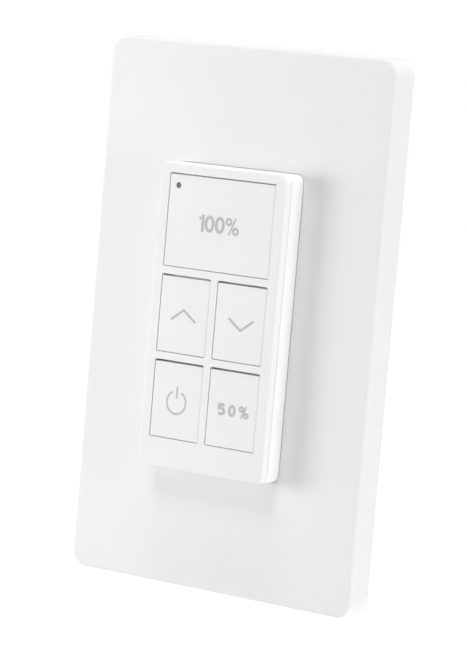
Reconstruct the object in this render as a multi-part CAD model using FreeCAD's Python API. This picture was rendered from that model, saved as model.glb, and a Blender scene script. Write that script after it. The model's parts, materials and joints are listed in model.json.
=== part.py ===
"""Wireless remote wall switch: a five-key battery remote docked in a screwless single-gang wall plate.

Frame: the wall is the plane y = 0 and the room is towards -Y, +X is to the right and +Z is up.
The origin is the middle of the mounting plate's back face. Sizes are in millimetres.
Depths are given as a standoff from the wall, so a standoff of s lies at y = -s.
"""

import FreeCAD, Part
import math
import os

from FreeCAD import Vector

os.makedirs("parts", exist_ok=True)

# Flats in a quarter of an outer edge's round
EDGE_STEPS = 4

# Wall plate: the clip-on cover with the window that the remote stands in
PLATE_WIDTH = 74.7
PLATE_HEIGHT = 119.1
PLATE_DEPTH = 6.9
PLATE_CORNER = 3.6
PLATE_EDGE_ROUND = 0.8
PLATE_DRAFT = 0.2
PLATE_FACE_WALL = 2.0
PLATE_SIDE_WALL = 1.6
WINDOW_WIDTH = 33.3
WINDOW_HEIGHT = 66.7
WINDOW_RIM_DEPTH = 0.6
WINDOW_RIM_WALL = 1.3
WINDOW_EDGE_CHAMFER = 0.06
PRY_NOTCH_WIDTH = 7.0
PRY_NOTCH_DEPTH = 1.4

# Mounting plate: screwed to the wall box behind the cover
BASE_THICKNESS = 2.0
BASE_CLEARANCE = 0.6
CRADLE_WALL = 1.4
CRADLE_CLEARANCE = 0.2
SEAT_PAD_HEIGHT = 1.15
SEAT_PAD_SIZE = 3.0
SEAT_GAP = 0.05
BASE_RIB_WALL = 1.2
BASE_RIB_HEIGHT = 1.5
BOX_SCREW_SPACING = 83.3
BOX_SLOT_WIDTH = 4.2
BOX_SLOT_LENGTH = 7.0
BOX_SCREW_HEAD_WIDTH = 8.4
BOX_SCREW_HEAD_RECESS = 0.7

# Snap tabs of the mounting plate and the catches that they hold inside the cover
TAB_WIDTH = 8.0
TAB_WALL = 1.2
TAB_HEIGHT = 2.6
BARB_HEIGHT = 1.1
CATCH_HEIGHT = 1.0
SNAP_CLEARANCE = 0.15
SIDE_TAB_PITCH = 68.0

# Remote housing
DOCK_GAP = 0.1
SHELL_CORNER = 1.9
SHELL_WALL = 1.3
BEZEL_WALL = 1.3
BEZEL_EDGE_ROUND = 0.5
FRONT_SHELL_HEIGHT = 2.28
SEAM_GAP = 0.15
SEAM_CHAMFER = 0.12
LEAST_CORNER = 0.3
TONGUE_WALL = 0.6
TONGUE_HEIGHT = 1.4
TONGUE_CLEARANCE = 0.06
REAR_WALL = 1.2
REAR_EDGE_CHAMFER = 0.4
BEAD_HEIGHT = 0.2
BEAD_LENGTH = 6.0

# Key windows in the front shell, from the top edge down
TOP_MARGIN = 2.23
SIDE_MARGIN = 2.58
MAIN_WINDOW_HEIGHT = 20.38
CHIN_HEIGHT = 6.56
ROW_WEB = 1.61
COLUMN_WEB = 1.78

# Keys, and the gaps round them in their windows: they hang low, with the widest gap over them
KEY_GAP = 0.1
KEY_LOWER_GAP = 0.12
KEY_UPPER_GAP = 0.42
MAIN_UPPER_GAP = 0.25
KEY_RECESS = 0.1
KEY_CORNER = 0.3
KEY_EDGE_CHAMFER = 0.1
KEY_TRAVEL = 0.4
KEY_SKIN = 1.1
FLANGE_OVERLAP = 0.45
FLANGE_THICKNESS = 0.65
FLANGE_GAP = 0.05
FLANGE_RIM = 1.3
GUIDE_CLEARANCE = 0.12
KEY_BOSS_SIZE = 3.2
KEY_RIB_WALL = 0.7
FOOT_SIZE = 1.2
FOOT_CLEARANCE = 0.05

# Indicator in the main key's upper left corner, measured from the key window's corner
INDICATOR_INSET_X = 2.43
INDICATOR_INSET_Z = 2.65
INDICATOR_RADIUS = 0.66
INDICATOR_RECESS = 0.12
INDICATOR_HEAD_RADIUS = 1.0
INDICATOR_HEAD_HEIGHT = 0.5
INDICATOR_TAIL = 0.5
PRESS_CLEARANCE = 0.02

# Circuit board and what is on it
BOARD_THICKNESS = 0.8
BOARD_CORNER = 0.5
BOARD_CLEARANCE = 0.35
BOARD_SEAT_GAP = 0.05
SWITCH_SIZE = 4.5
SWITCH_HEIGHT = 1.0
SWITCH_FLOOR = 0.1
PLUNGER_RADIUS = 1.0
PLUNGER_PROUD = 0.5
PLUNGER_CLEARANCE = 0.08
PLUNGER_REST_DEPTH = 0.45
KEY_STACK_GAP = 1.1
CONTACT_SHEET = 0.2
CONTACT_LIFT = 0.4
CONTACT_WIDTH = 3.0
SPRING_LENGTH = 12.0
SPRING_FOOT = 1.8
SPRING_CREST = 2.4
LED_LENGTH = 1.6
LED_WIDTH = 0.8
LED_HEIGHT = 0.6
RADIO_CHIP_SIZE = 6.0
RADIO_CHIP_HEIGHT = 0.9
CRYSTAL_LENGTH = 3.2
CRYSTAL_WIDTH = 2.5
CRYSTAL_HEIGHT = 0.8
ANTENNA_LENGTH = 7.0
ANTENNA_WIDTH = 2.0
ANTENNA_HEIGHT = 1.0
CHIP_PART_LENGTH = 1.0
CHIP_PART_WIDTH = 0.5
CHIP_PART_HEIGHT = 0.5

# Coin cell, its holder and the twist-off door
CELL_RADIUS = 10.0
CELL_HEIGHT = 3.2
CELL_RIM = 0.8
CELL_STEP = 0.3
CELL_CLEARANCE = 0.3
HOLDER_WALL = 1.1
HOLDER_BRIDGE = 0.5
DOOR_SKIRT_WALL = 0.6
DOOR_CLEARANCE = 0.15
DOOR_THICKNESS = 1.05
DOOR_LUG_REACH = 1.3
DOOR_LUG_HEIGHT = 0.55
DOOR_LUG_ANGLE = 24.0
DOOR_LUG_COUNT = 3
DOOR_TWIST = 40.0
DOOR_STOP_ANGLE = 6.0
DOOR_STOP_PLAY = 1.0
COIN_SLOT_LENGTH = 14.0
COIN_SLOT_WIDTH = 1.8
COIN_SLOT_DEPTH = 0.5

# Magnets in the remote and the steel keepers that hold it to the wall
MAGNET_LENGTH = 14.0
MAGNET_WIDTH = 5.0
MAGNET_THICKNESS = 1.5
MAGNET_SKIN = 0.4
MAGNET_CLEARANCE = 0.08
MAGNET_FRAME_WALL = 0.8
MAGNET_FRAME_CORNER = 0.5
MAGNET_END_DISTANCE = 8.45
KEEPER_THICKNESS = 1.2
KEEPER_POCKET = 0.4

# Case screws in the remote's chin
CASE_SCREW_X = 11.5
CASE_SCREW_RADIUS = 0.9
CASE_SCREW_HEAD_RADIUS = 1.6
CASE_SCREW_HEAD_HEIGHT = 1.1
CASE_SCREW_HEAD_RECESS = 1.4
CASE_SCREW_ENGAGEMENT = 2.0
CASE_SCREW_CLEARANCE = 0.15
CASE_BOSS_WALL = 0.55
CROSS_LENGTH = 1.9
CROSS_WIDTH = 0.45
CROSS_DEPTH = 0.55

# Standoffs from the wall, worked outwards through the remote from its seat
REMOTE_BACK = BASE_THICKNESS + SEAT_PAD_HEIGHT + SEAT_GAP
REAR_FLOOR = REMOTE_BACK + REAR_WALL
CELL_BACK = REMOTE_BACK + DOOR_THICKNESS + SEAT_GAP
CELL_FRONT = CELL_BACK + CELL_HEIGHT
BOARD_BACK = CELL_FRONT + CONTACT_LIFT
BOARD_FRONT = BOARD_BACK + BOARD_THICKNESS
SWITCH_FRONT = BOARD_FRONT + SWITCH_HEIGHT
PLUNGER_FRONT = SWITCH_FRONT + PLUNGER_PROUD
FLANGE_BACK = PLUNGER_FRONT + KEY_STACK_GAP
FLANGE_FRONT = FLANGE_BACK + FLANGE_THICKNESS
BEZEL_BACK = FLANGE_FRONT + FLANGE_GAP
BEZEL_FRONT = BEZEL_BACK + BEZEL_WALL
SEAM = BEZEL_FRONT - FRONT_SHELL_HEIGHT
KEY_FRONT = BEZEL_FRONT - KEY_RECESS

# Plan sizes that follow from the driving ones
REMOTE_WIDTH = WINDOW_WIDTH - 2 * DOCK_GAP
REMOTE_HEIGHT = WINDOW_HEIGHT - 2 * DOCK_GAP
WINDOW_CORNER = SHELL_CORNER + DOCK_GAP
BASE_WIDTH = PLATE_WIDTH - 2 * (PLATE_SIDE_WALL + BASE_CLEARANCE)
BASE_HEIGHT = PLATE_HEIGHT - 2 * (PLATE_SIDE_WALL + BASE_CLEARANCE)
BASE_CORNER = max(PLATE_CORNER - PLATE_SIDE_WALL - BASE_CLEARANCE, LEAST_CORNER)
SMALL_WINDOWS_HEIGHT = REMOTE_HEIGHT - TOP_MARGIN - MAIN_WINDOW_HEIGHT - 2 * ROW_WEB - CHIN_HEIGHT
SMALL_WINDOW_HEIGHT = SMALL_WINDOWS_HEIGHT / 2
INSIDE_WIDTH = REMOTE_WIDTH - 2 * SHELL_WALL
INSIDE_HEIGHT = REMOTE_HEIGHT - 2 * SHELL_WALL
INSIDE_CORNER = max(SHELL_CORNER - SHELL_WALL, LEAST_CORNER)
BOARD_WIDTH = INSIDE_WIDTH - 2 * BOARD_CLEARANCE
DOOR_RADIUS = CELL_RADIUS + CELL_CLEARANCE + DOOR_SKIRT_WALL
LUG_RADIUS = DOOR_RADIUS + DOOR_LUG_REACH
LUG_BACK = REAR_FLOOR + FLANGE_GAP
LUG_FRONT = LUG_BACK + DOOR_LUG_HEIGHT
HOLDER_INNER = CELL_RADIUS + CELL_CLEARANCE
HOLDER_OUTER = HOLDER_INNER + HOLDER_WALL
CASE_COUNTERBORE = CASE_SCREW_HEAD_RADIUS + CASE_SCREW_CLEARANCE
CASE_BOSS_RADIUS = CASE_COUNTERBORE + CASE_BOSS_WALL
MAGNET_Z = REMOTE_HEIGHT / 2 - MAGNET_END_DISTANCE


def key_windows():
    """The five key windows as name: (x, z, width, height), with x and z at the window's middle."""
    full_width = REMOTE_WIDTH - 2 * SIDE_MARGIN
    half_width = (full_width - COLUMN_WEB) / 2
    column = (half_width + COLUMN_WEB) / 2
    main_z = REMOTE_HEIGHT / 2 - TOP_MARGIN - MAIN_WINDOW_HEIGHT / 2
    middle_z = main_z - (MAIN_WINDOW_HEIGHT + SMALL_WINDOW_HEIGHT) / 2 - ROW_WEB
    bottom_z = middle_z - SMALL_WINDOW_HEIGHT - ROW_WEB
    return {
        "main": (0, main_z, full_width, MAIN_WINDOW_HEIGHT),
        "raise": (-column, middle_z, half_width, SMALL_WINDOW_HEIGHT),
        "lower": (column, middle_z, half_width, SMALL_WINDOW_HEIGHT),
        "power": (-column, bottom_z, half_width, SMALL_WINDOW_HEIGHT),
        "preset": (column, bottom_z, half_width, SMALL_WINDOW_HEIGHT),
    }


KEYS = key_windows()
KEY_FIELD_BOTTOM = KEYS["power"][1] - SMALL_WINDOW_HEIGHT / 2
BOARD_TOP = INSIDE_HEIGHT / 2 - BOARD_CLEARANCE
BOARD_BOTTOM = KEY_FIELD_BOTTOM - FLANGE_OVERLAP - GUIDE_CLEARANCE
CASE_SCREW_Z = BOARD_BOTTOM - GUIDE_CLEARANCE - CASE_BOSS_RADIUS


def indicator_place():
    """The indicator's x and z, from the upper left corner of the main key's window."""
    x, z, width, height = KEYS["main"]
    return x - width / 2 + INDICATOR_INSET_X, z + height / 2 - INDICATOR_INSET_Z


def outline(width, height, corner=0.0, x=0.0, z=0.0, standoff=0.0, cut=False):
    """A rectangle parallel to the wall, its corners round or cut straight where the round would touch."""
    y = -standoff
    left, right = x - width / 2, x + width / 2
    low, high = z - height / 2, z + height / 2
    if corner <= 0:
        corners = [(left, low), (right, low), (right, high), (left, high), (left, low)]
        return Part.makePolygon([Vector(a, y, b) for a, b in corners])
    bend = corner * (1 - math.sqrt(0.5))
    run = 2 * bend if cut else corner
    turns = [
        ((right - run, low), (right - bend, low + bend), (right, low + run)),
        ((right, high - run), (right - bend, high - bend), (right - run, high)),
        ((left + run, high), (left + bend, high - bend), (left, high - run)),
        ((left, low + run), (left + bend, low + bend), (left + run, low)),
    ]
    edges = []
    start = Vector(left + run, y, low)
    for turn in turns:
        a, b, c = (Vector(px, y, pz) for px, pz in turn)
        edges.append(Part.LineSegment(start, a).toShape())
        edges.append(Part.LineSegment(a, c).toShape() if cut else Part.Arc(a, b, c).toShape())
        start = c
    return Part.Wire(edges)


def slab(width, height, back, front, corner=0.0, x=0.0, z=0.0, cut=False):
    """A plate parallel to the wall, from one standoff to another."""
    face = Part.Face(outline(width, height, corner, x, z, back, cut))
    return face.extrude(Vector(0, back - front, 0))


def rounded_edge(width, height, corner, front, radius):
    """Outlines that close in towards the front along a quarter circle, in EDGE_STEPS flats."""
    found = []
    for k in range(EDGE_STEPS + 1):
        angle = math.pi / 2 * k / EDGE_STEPS
        inset = radius * (1 - math.cos(angle))
        standoff = front - radius * (1 - math.sin(angle))
        found.append(outline(width - 2 * inset, height - 2 * inset, corner - inset, standoff=standoff))
    return found


def box(left, right, low, high, back, front):
    """A block between two places in x, two in z and two standoffs."""
    return slab(right - left, high - low, back, front, 0, (left + right) / 2, (low + high) / 2)


def disc(radius, back, front, x=0.0, z=0.0):
    """A round plate or pin, square to the wall."""
    return Part.makeCylinder(radius, front - back, Vector(x, -back, z), Vector(0, -1, 0))


def ring(outer, inner, back, front, x=0.0, z=0.0):
    """A round wall, square to the wall plate."""
    return disc(outer, back, front, x, z).cut(disc(inner, back, front, x, z))


def capsule(width, length, back, front, z):
    """An upright slot with round ends, on the middle line x = 0."""
    radius = width / 2
    straight = length / 2 - radius
    low_left, high_left = (Vector(-radius, -back, z + k * straight) for k in (-1, 1))
    low_right, high_right = (Vector(radius, -back, z + k * straight) for k in (-1, 1))
    edges = [
        Part.Arc(low_left, Vector(0, -back, z - length / 2), low_right).toShape(),
        Part.LineSegment(low_right, high_right).toShape(),
        Part.Arc(high_right, Vector(0, -back, z + length / 2), high_left).toShape(),
        Part.LineSegment(high_left, low_left).toShape(),
    ]
    return Part.Face(Part.Wire(edges)).extrude(Vector(0, back - front, 0))


def sector(outer, inner, back, front, middle_angle, sweep):
    """A stretch of a round wall about the Y axis, at angles measured from +X towards +Z."""
    a, b, c = (math.radians(middle_angle + k * sweep / 2) for k in (-1, 0, 1))

    def at(radius, angle):
        return Vector(radius * math.cos(angle), -back, radius * math.sin(angle))

    edges = [
        Part.Arc(at(outer, a), at(outer, b), at(outer, c)).toShape(),
        Part.LineSegment(at(outer, c), at(inner, c)).toShape(),
        Part.Arc(at(inner, c), at(inner, b), at(inner, a)).toShape(),
        Part.LineSegment(at(inner, a), at(outer, a)).toShape(),
    ]
    return Part.Face(Part.Wire(edges)).extrude(Vector(0, back - front, 0))


def profile_bar(points, length, low_z):
    """A bar along Z whose section is a list of (x, standoff) points."""
    loop = [Vector(x, -standoff, low_z) for x, standoff in points]
    return Part.Face(Part.makePolygon(loop + loop[:1])).extrude(Vector(0, 0, length))


def edges_at(solid, standoff, within=2 * PLATE_WIDTH):
    """The edges of a solid that lie in the plane at one standoff, inside a width in x."""
    found = []
    for edge in solid.Edges:
        limits = edge.BoundBox
        flat = abs(limits.YMin + standoff) < 1e-5 and abs(limits.YMax + standoff) < 1e-5
        if flat and max(-limits.XMin, limits.XMax) < within / 2 + 1e-5:
            found.append(edge)
    return found


def turned(solid, degrees):
    """A copy turned about the Y axis, from +X towards +Z."""
    copy = solid.copy()
    copy.rotate(Vector(0, 0, 0), Vector(0, -1, 0), degrees)
    return copy


def tab_places():
    """Where the snap tabs stand: (degrees to turn from the right side, distance out, distance along)."""
    side = BASE_WIDTH / 2
    end = BASE_HEIGHT / 2
    along_end = (WINDOW_WIDTH / 2 + CRADLE_WALL + side) / 2
    sides = [(turn, side, k * SIDE_TAB_PITCH / 2) for turn in (0, 180) for k in (-1, 1)]
    ends = [(turn, end, k * along_end) for turn in (90, 270) for k in (-1, 1)]
    return sides + ends


def snap_tab(edge, along):
    """One tab of the mounting plate, on its right-hand edge, with a barb that faces outwards."""
    root = BASE_THICKNESS / 2
    tip = BASE_THICKNESS + TAB_HEIGHT
    shelf = tip - BARB_HEIGHT
    barb = edge + BASE_CLEARANCE - SNAP_CLEARANCE
    points = [
        (edge - TAB_WALL, root),
        (edge, root),
        (edge, shelf),
        (barb, shelf),
        (barb, shelf + BARB_HEIGHT / 3),
        (edge, tip),
        (edge - TAB_WALL, tip),
    ]
    return profile_bar(points, TAB_WIDTH, along - TAB_WIDTH / 2)


def cover_catch(edge, along):
    """The ridge inside the cover that sits behind a tab's barb, on the right-hand side."""
    wall = edge + BASE_CLEARANCE + PLATE_SIDE_WALL / 2
    ridge = edge + SNAP_CLEARANCE
    top = BASE_THICKNESS + TAB_HEIGHT - BARB_HEIGHT - SNAP_CLEARANCE
    points = [
        (wall, top),
        (ridge, top),
        (ridge, top - CATCH_HEIGHT / 3),
        (edge + BASE_CLEARANCE, top - CATCH_HEIGHT),
        (wall, top - CATCH_HEIGHT),
    ]
    return profile_bar(points, TAB_WIDTH, along - TAB_WIDTH / 2)


def wall_plate():
    """The clip-on cover: a drafted shell with a rimmed window, catches, ribs and a pry notch."""
    back = outline(
        PLATE_WIDTH + 2 * PLATE_DRAFT, PLATE_HEIGHT + 2 * PLATE_DRAFT, PLATE_CORNER + PLATE_DRAFT
    )
    sides = rounded_edge(PLATE_WIDTH, PLATE_HEIGHT, PLATE_CORNER, PLATE_DEPTH, PLATE_EDGE_ROUND)
    shell = Part.makeLoft([back] + sides, True, True)
    inside_corner = max(PLATE_CORNER - PLATE_SIDE_WALL, LEAST_CORNER)
    roof = PLATE_DEPTH - PLATE_FACE_WALL
    cavity = slab(
        PLATE_WIDTH - 2 * PLATE_SIDE_WALL,
        PLATE_HEIGHT - 2 * PLATE_SIDE_WALL,
        0,
        roof,
        inside_corner,
        cut=True,
    )
    shell = shell.cut(cavity)
    rim = slab(
        WINDOW_WIDTH + 2 * WINDOW_RIM_WALL,
        WINDOW_HEIGHT + 2 * WINDOW_RIM_WALL,
        roof - WINDOW_RIM_DEPTH,
        roof,
        WINDOW_CORNER + WINDOW_RIM_WALL,
        cut=True,
    )
    catches = [turned(cover_catch(edge, along), turn) for turn, edge, along in tab_places()]
    shell = shell.fuse([rim] + cover_ribs(roof) + catches)
    window = slab(WINDOW_WIDTH, WINDOW_HEIGHT, 0, PLATE_DEPTH, WINDOW_CORNER)
    notch = box(
        -PRY_NOTCH_WIDTH / 2,
        PRY_NOTCH_WIDTH / 2,
        -PLATE_HEIGHT / 2 - 2 * PLATE_DRAFT,
        -PLATE_HEIGHT / 2 + PLATE_SIDE_WALL,
        0,
        PRY_NOTCH_DEPTH,
    )
    shell = shell.cut([window, notch]).removeSplitter()
    return shell.makeChamfer(WINDOW_EDGE_CHAMFER, edges_at(shell, PLATE_DEPTH, WINDOW_WIDTH))


def cover_ribs(roof):
    """Stiffening ribs on the back of the cover's face, above, below and beside the window."""
    half_width = PLATE_WIDTH / 2 - PLATE_SIDE_WALL / 2
    half_height = PLATE_HEIGHT / 2 - PLATE_SIDE_WALL / 2
    rim_x = WINDOW_WIDTH / 2 + WINDOW_RIM_WALL / 2
    rim_z = WINDOW_HEIGHT / 2 + WINDOW_RIM_WALL / 2
    back = roof - WINDOW_RIM_DEPTH
    half_rib = BASE_RIB_WALL / 2
    ribs = []
    for sign in (-1, 1):
        across = sorted((sign * rim_x, sign * half_width))
        up = sorted((sign * rim_z, sign * half_height))
        ribs.append(box(across[0], across[1], -half_rib, half_rib, back, roof))
        for x in (-rim_x, 0, rim_x):
            ribs.append(box(x - half_rib, x + half_rib, up[0], up[1], back, roof))
    return ribs


def mounting_plate():
    """The moulded plate that is screwed to the wall: cradle, seats, ribs, tabs, slots and pockets."""
    base = slab(BASE_WIDTH, BASE_HEIGHT, 0, BASE_THICKNESS, BASE_CORNER, cut=True)
    cradle_top = PLATE_DEPTH - PLATE_FACE_WALL - WINDOW_RIM_DEPTH - CRADLE_CLEARANCE
    outer = slab(
        WINDOW_WIDTH + 2 * CRADLE_WALL,
        WINDOW_HEIGHT + 2 * CRADLE_WALL,
        BASE_THICKNESS / 2,
        cradle_top,
        WINDOW_CORNER + CRADLE_WALL,
        cut=True,
    )
    hollow = slab(WINDOW_WIDTH, WINDOW_HEIGHT, BASE_THICKNESS, cradle_top, WINDOW_CORNER, cut=True)
    tabs = [turned(snap_tab(edge, along), turn) for turn, edge, along in tab_places()]
    body = base.fuse([outer] + base_ribs() + tabs).cut(hollow)
    body = body.fuse(seat_pads())
    cuts = [box_slot(sign) for sign in (-1, 1)] + [head_recess(sign) for sign in (-1, 1)]
    cuts += [keeper_pocket(sign) for sign in (-1, 1)]
    return body.cut(cuts).removeSplitter()


def base_ribs():
    """Ribs on the mounting plate, from the cradle out to its edges."""
    top = BASE_THICKNESS + BASE_RIB_HEIGHT
    sunk = BASE_THICKNESS / 2
    half_rib = BASE_RIB_WALL / 2
    edge_x = BASE_WIDTH / 2 - TAB_WALL
    edge_z = BASE_HEIGHT / 2 - TAB_WALL
    wall_x = WINDOW_WIDTH / 2 + CRADLE_WALL / 2
    wall_z = WINDOW_HEIGHT / 2 + CRADLE_WALL / 2
    ribs = []
    for sign in (-1, 1):
        across = sorted((sign * wall_x, sign * edge_x))
        up = sorted((sign * wall_z, sign * edge_z))
        for z in (-wall_z, -wall_z / 2, wall_z / 2, wall_z):
            ribs.append(box(across[0], across[1], z - half_rib, z + half_rib, sunk, top))
        for x in (-wall_x, wall_x):
            ribs.append(box(x - half_rib, x + half_rib, up[0], up[1], sunk, top))
        rail = sign * edge_x
        ribs.append(box(rail - half_rib, rail + half_rib, -edge_z, edge_z, sunk, top))
        rail = sign * edge_z
        ribs.append(box(-edge_x, edge_x, rail - half_rib, rail + half_rib, sunk, top))
    return ribs


def seat_pads():
    """Four pads that the back of the remote rests on."""
    x = REMOTE_WIDTH / 2 - SEAT_PAD_SIZE
    z = (DOOR_RADIUS + MAGNET_Z) / 2
    size = SEAT_PAD_SIZE
    front = BASE_THICKNESS + SEAT_PAD_HEIGHT
    places = [(i * x, k * z) for i in (-1, 1) for k in (-1, 1)]
    return [slab(size, size, BASE_THICKNESS / 2, front, 0, a, b) for a, b in places]


def box_slot(sign):
    """A slot for one screw of the wall box, through the mounting plate."""
    z = sign * BOX_SCREW_SPACING / 2
    return capsule(BOX_SLOT_WIDTH, BOX_SLOT_LENGTH, 0, BASE_THICKNESS, z)


def head_recess(sign):
    """The sunk seat for that screw's head."""
    length = BOX_SLOT_LENGTH + BOX_SCREW_HEAD_WIDTH - BOX_SLOT_WIDTH
    back = BASE_THICKNESS - BOX_SCREW_HEAD_RECESS
    return slab(BOX_SCREW_HEAD_WIDTH, length, back, BASE_THICKNESS, 0, 0, sign * BOX_SCREW_SPACING / 2)


def keeper_pocket(sign):
    """The shallow pocket that locates one steel keeper."""
    width = MAGNET_LENGTH + 2 * MAGNET_CLEARANCE
    height = MAGNET_WIDTH + 2 * MAGNET_CLEARANCE
    back = BASE_THICKNESS - KEEPER_POCKET
    return slab(width, height, back, BASE_THICKNESS, 0, 0, sign * MAGNET_Z)


def keeper(sign):
    """A steel strip that the remote's magnet holds to."""
    back = BASE_THICKNESS - KEEPER_POCKET
    return slab(MAGNET_LENGTH, MAGNET_WIDTH, back, back + KEEPER_THICKNESS, 0, 0, sign * MAGNET_Z)


def magnet(sign):
    """A bar magnet behind the thin skin of the remote's back."""
    back = REMOTE_BACK + MAGNET_SKIN
    return slab(MAGNET_LENGTH, MAGNET_WIDTH, back, back + MAGNET_THICKNESS, 0, 0, sign * MAGNET_Z)


def front_shell():
    """The bezel: a shallow tray with five key windows, guide ribs, a tongue and two screw bosses."""
    edge = outline(REMOTE_WIDTH, REMOTE_HEIGHT, SHELL_CORNER, standoff=SEAM + SEAM_GAP)
    sides = rounded_edge(REMOTE_WIDTH, REMOTE_HEIGHT, SHELL_CORNER, BEZEL_FRONT, BEZEL_EDGE_ROUND)
    tray = Part.makeLoft([edge] + sides, True, True)
    tray = tray.makeChamfer(SEAM_CHAMFER, edges_at(tray, SEAM + SEAM_GAP))
    tongue_end = SEAM - TONGUE_HEIGHT
    tongue = slab(
        INSIDE_WIDTH + 2 * TONGUE_WALL,
        INSIDE_HEIGHT + 2 * TONGUE_WALL,
        tongue_end,
        BEZEL_BACK,
        INSIDE_CORNER + TONGUE_WALL,
        cut=True,
    )
    hollow = slab(INSIDE_WIDTH, INSIDE_HEIGHT, tongue_end, BEZEL_BACK, INSIDE_CORNER, cut=True)
    body = tray.fuse([tongue] + snap_beads(0)).cut(hollow)
    body = body.fuse(guide_ribs() + [front_boss(sign) for sign in (-1, 1)])
    cuts = [pilot_hole(sign) for sign in (-1, 1)]
    for x, z, width, height in KEYS.values():
        cuts.append(slab(width, height, BEZEL_BACK, BEZEL_FRONT, KEY_CORNER + KEY_GAP, x, z, cut=True))
    return body.cut(cuts).removeSplitter()


def pilot_hole(sign):
    """The blind hole in the front shell's boss for a case screw."""
    radius = CASE_SCREW_RADIUS + PRESS_CLEARANCE
    end = BOARD_FRONT + CASE_SCREW_ENGAGEMENT + CASE_SCREW_CLEARANCE
    return disc(radius, BOARD_FRONT, end, sign * CASE_SCREW_X, CASE_SCREW_Z)


def snap_beads(clearance):
    """Beads on the tongue's outside, or with a clearance, the grooves in the rear shell for them."""
    reach = BEAD_HEIGHT + clearance
    back = SEAM - TONGUE_HEIGHT + BEAD_HEIGHT - clearance
    front = back + 2 * BEAD_HEIGHT + 2 * clearance
    length = BEAD_LENGTH + 2 * clearance
    face_x = INSIDE_WIDTH / 2 + TONGUE_WALL
    face_z = INSIDE_HEIGHT / 2 + TONGUE_WALL
    sunk = TONGUE_WALL / 2
    beads = []
    for sign in (-1, 1):
        for z in (-REMOTE_HEIGHT / 4, REMOTE_HEIGHT / 4):
            across = sorted((sign * (face_x - sunk), sign * (face_x + reach)))
            beads.append(box(across[0], across[1], z - length / 2, z + length / 2, back, front))
        x = sign * REMOTE_WIDTH / 4
        beads.append(box(x - length / 2, x + length / 2, face_z - sunk, face_z + reach, back, front))
    return beads


def guide_ribs():
    """Ribs behind the webs, which guide the keys' flanges and hold the board down."""
    back = BOARD_FRONT + BOARD_SEAT_GAP
    root = BEZEL_BACK + BEZEL_WALL / 2
    flanges = 2 * (FLANGE_OVERLAP + GUIDE_CLEARANCE)
    row_rib = ROW_WEB - flanges
    column_rib = COLUMN_WEB - flanges
    half = INSIDE_WIDTH / 2 - GUIDE_CLEARANCE
    upper_web = KEYS["main"][1] - (MAIN_WINDOW_HEIGHT + ROW_WEB) / 2
    lower_web = KEYS["raise"][1] - (SMALL_WINDOW_HEIGHT + ROW_WEB) / 2
    ribs = [box(-half, half, z - row_rib / 2, z + row_rib / 2, back, root) for z in (upper_web, lower_web)]
    low = KEY_FIELD_BOTTOM - FLANGE_OVERLAP
    ribs.append(box(-column_rib / 2, column_rib / 2, low, upper_web, back, root))
    chin_top = BOARD_BOTTOM - GUIDE_CLEARANCE
    reach = CASE_SCREW_X - CASE_BOSS_RADIUS - GUIDE_CLEARANCE
    ribs.append(box(-reach, reach, chin_top - row_rib, chin_top, BOARD_BACK, root))
    return ribs


def front_boss(sign):
    """The boss in the front shell that a case screw bites into."""
    radius = CASE_SCREW_RADIUS + CASE_BOSS_WALL + CASE_SCREW_CLEARANCE
    back = BOARD_FRONT + BOARD_SEAT_GAP
    return disc(radius, back, BEZEL_BACK + BEZEL_WALL / 2, sign * CASE_SCREW_X, CASE_SCREW_Z)


def rear_shell():
    """The back of the remote: a tray with the door's opening, magnet frames, board rests and bosses."""
    tray = slab(REMOTE_WIDTH, REMOTE_HEIGHT, REMOTE_BACK, SEAM, SHELL_CORNER)
    tray = tray.makeChamfer(REAR_EDGE_CHAMFER, edges_at(tray, REMOTE_BACK))
    tray = tray.makeChamfer(SEAM_CHAMFER, edges_at(tray, SEAM))
    hollow = slab(INSIDE_WIDTH, INSIDE_HEIGHT, REAR_FLOOR, SEAM, INSIDE_CORNER, cut=True)
    rebate_wall = TONGUE_WALL + TONGUE_CLEARANCE
    rebate = slab(
        INSIDE_WIDTH + 2 * rebate_wall,
        INSIDE_HEIGHT + 2 * rebate_wall,
        SEAM - TONGUE_HEIGHT - TONGUE_CLEARANCE,
        SEAM,
        INSIDE_CORNER + rebate_wall,
        cut=True,
    )
    body = tray.cut([hollow, rebate] + snap_beads(TONGUE_CLEARANCE))
    body = body.fuse(board_rests() + [make(sign) for make in (magnet_frame, rear_boss) for sign in (-1, 1)])
    body = body.fuse([stop for k in range(DOOR_LUG_COUNT) for stop in door_stops(k)])
    cuts = [disc(DOOR_RADIUS + DOOR_CLEARANCE, REMOTE_BACK, REAR_FLOOR)]
    cuts += [door_notch(k) for k in range(DOOR_LUG_COUNT)]
    cuts += [magnet_pocket(sign) for sign in (-1, 1)]
    shank_radius = CASE_SCREW_RADIUS + CASE_SCREW_CLEARANCE
    seat = REMOTE_BACK + CASE_SCREW_HEAD_RECESS
    for x in (-CASE_SCREW_X, CASE_SCREW_X):
        cuts.append(disc(CASE_COUNTERBORE, REMOTE_BACK, seat, x, CASE_SCREW_Z))
        cuts.append(disc(shank_radius, REMOTE_BACK, BOARD_FRONT, x, CASE_SCREW_Z))
    return body.cut(cuts).removeSplitter()


def board_rests():
    """Ribs on the side walls that carry the edges of the circuit board."""
    wall = INSIDE_WIDTH / 2
    reach = wall - BOARD_CLEARANCE - KEY_RIB_WALL
    width = 2 * BASE_RIB_WALL
    middle = (BOARD_TOP + BOARD_BOTTOM) / 2
    pitch = (BOARD_TOP - BOARD_BOTTOM) / 3
    back = REAR_FLOOR - REAR_WALL / 2
    rests = []
    for sign in (-1, 1):
        left, right = sorted((sign * reach, sign * (wall + SHELL_WALL / 2)))
        for k in (-1, 1):
            z = middle + k * pitch
            rests.append(box(left, right, z - width / 2, z + width / 2, back, BOARD_BACK - BOARD_SEAT_GAP))
    return rests


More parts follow.
